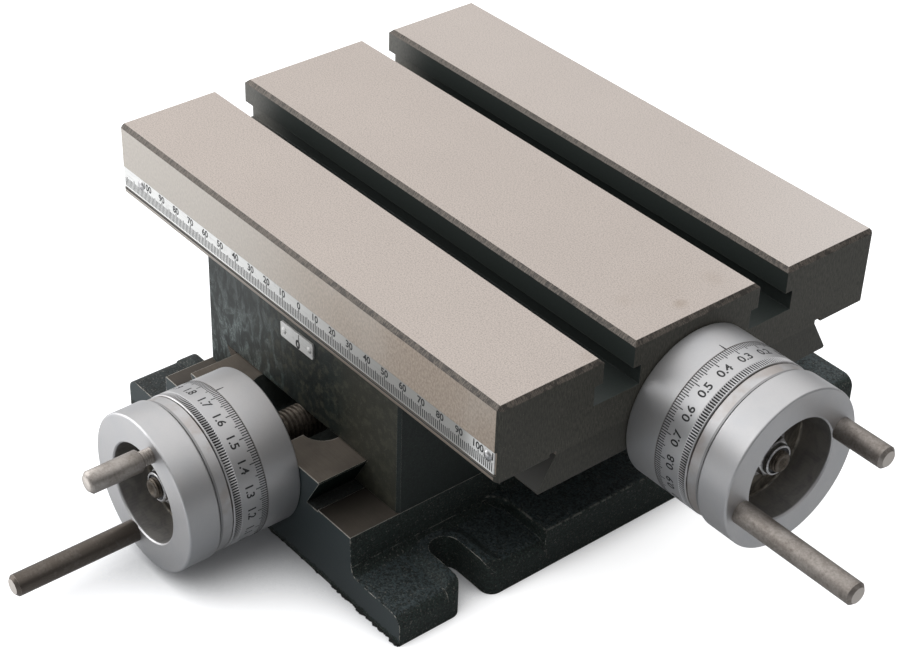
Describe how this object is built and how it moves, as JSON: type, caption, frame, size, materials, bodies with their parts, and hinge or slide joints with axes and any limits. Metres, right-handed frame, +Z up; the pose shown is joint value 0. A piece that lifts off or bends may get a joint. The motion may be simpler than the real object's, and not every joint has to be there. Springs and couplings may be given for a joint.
{
  "type": "cross slide table",
  "caption": "Cross slide table: a T-slotted work table on crossed dovetail slides, moved by leadscrews with dialled handwheels, over a cast base with mounting slots.",
  "frame": {"origin": "centre of the base casting's underside, the plane it is bolted down on", "axes": "+Z up, +X towards the table's handwheel, +Y from the saddle's handwheel towards the back"},
  "size_m": [0.3273, 0.3353, 0.1155],
  "materials": {
    "base_paint": "black crinkled paint on rough cast iron, ledges and rails machined bare",
    "saddle_paint": "smooth dark grey paint over cast iron, oily",
    "ground_iron": "ground top, milled sides and slots, oiled",
    "turned_steel": "satin turned steel",
    "leadscrew_steel": "cut thread, oiled",
    "handle_steel": "turned steel with a brown oil film",
    "bronze": "machined bronze",
    "gib_steel": "ground steel strip",
    "black_steel": "black oxide",
    "plated_steel": "bright zinc plate",
    "nylon": "dark nylon",
    "scale_metal": "matt silver strip with black printed marks"
  },
  "bodies": {
    "base": {"base_casting": "base_paint", "y_collar": "turned_steel", "y_collar_screws": "black_steel"},
    "saddle": {"saddle_casting": "saddle_paint", "y_gib": "gib_steel", "y_gib_screws": "black_steel", "y_gib_locknuts": "plated_steel", "x_gib": "gib_steel", "x_gib_screws": "black_steel", "x_gib_locknuts": "plated_steel", "y_nut": "bronze", "y_nut_screws": "black_steel", "x_nut": "bronze", "x_nut_screws": "black_steel", "index_plate": "scale_metal", "index_pins": "plated_steel"},
    "table": {"table_casting": "ground_iron", "x_collar": "turned_steel", "x_collar_screws": "black_steel", "scale_strip": "scale_metal", "scale_rivets": "plated_steel"},
    "x_screw": {"x_leadscrew": "leadscrew_steel", "x_thrust_washers": "leadscrew_steel", "x_handwheel": "turned_steel", "x_dial_spring": "black_steel", "x_wheel_key": "black_steel", "x_wheel_washer": "plated_steel", "x_wheel_nut": "plated_steel", "x_nut_insert": "nylon", "x_long_handle": "handle_steel", "x_short_handle": "handle_steel"},
    "x_dial_ring": {"x_dial": "turned_steel"},
    "y_screw": {"y_leadscrew": "leadscrew_steel", "y_thrust_washers": "leadscrew_steel", "y_handwheel": "turned_steel", "y_dial_spring": "black_steel", "y_wheel_key": "black_steel", "y_wheel_washer": "plated_steel", "y_wheel_nut": "plated_steel", "y_nut_insert": "nylon", "y_long_handle": "handle_steel", "y_short_handle": "handle_steel"},
    "y_dial_ring": {"y_dial": "turned_steel"}
  },
  "joints": [
    {"name": "saddle_slide", "type": "slide", "parent": "base", "child": "saddle", "axis": [0, 1, 0], "range_m": [-0.0205, 0.0745]},
    {"name": "table_slide", "type": "slide", "parent": "saddle", "child": "table", "axis": [1, 0, 0], "range_m": [-0.056, 0.084]},
    {"name": "y_screw_turn", "type": "hinge", "parent": "base", "child": "y_screw", "pos_m": [0, -0.118, 0.0355], "axis": [0, 1, 0], "range_deg": [-3690, 13410]},
    {"name": "x_screw_turn", "type": "hinge", "parent": "table", "child": "x_screw", "pos_m": [0.117, -0.0126, 0.0788], "axis": [1, 0, 0], "range_deg": [-10080, 15120]},
    {"name": "y_dial_turn", "type": "hinge", "parent": "y_screw", "child": "y_dial_ring", "pos_m": [0, -0.118, 0.0355], "axis": [0, 1, 0], "range_deg": [-180, 180]},
    {"name": "x_dial_turn", "type": "hinge", "parent": "x_screw", "child": "x_dial_ring", "pos_m": [0.117, -0.0126, 0.0788], "axis": [1, 0, 0], "range_deg": [-180, 180]}
  ],
  "couplings": [
    {"joint": "saddle_slide", "follows": "y_screw_turn", "m_per_rad": 0.00031831},
    {"joint": "table_slide", "follows": "x_screw_turn", "m_per_rad": 0.00031831}
  ]
}
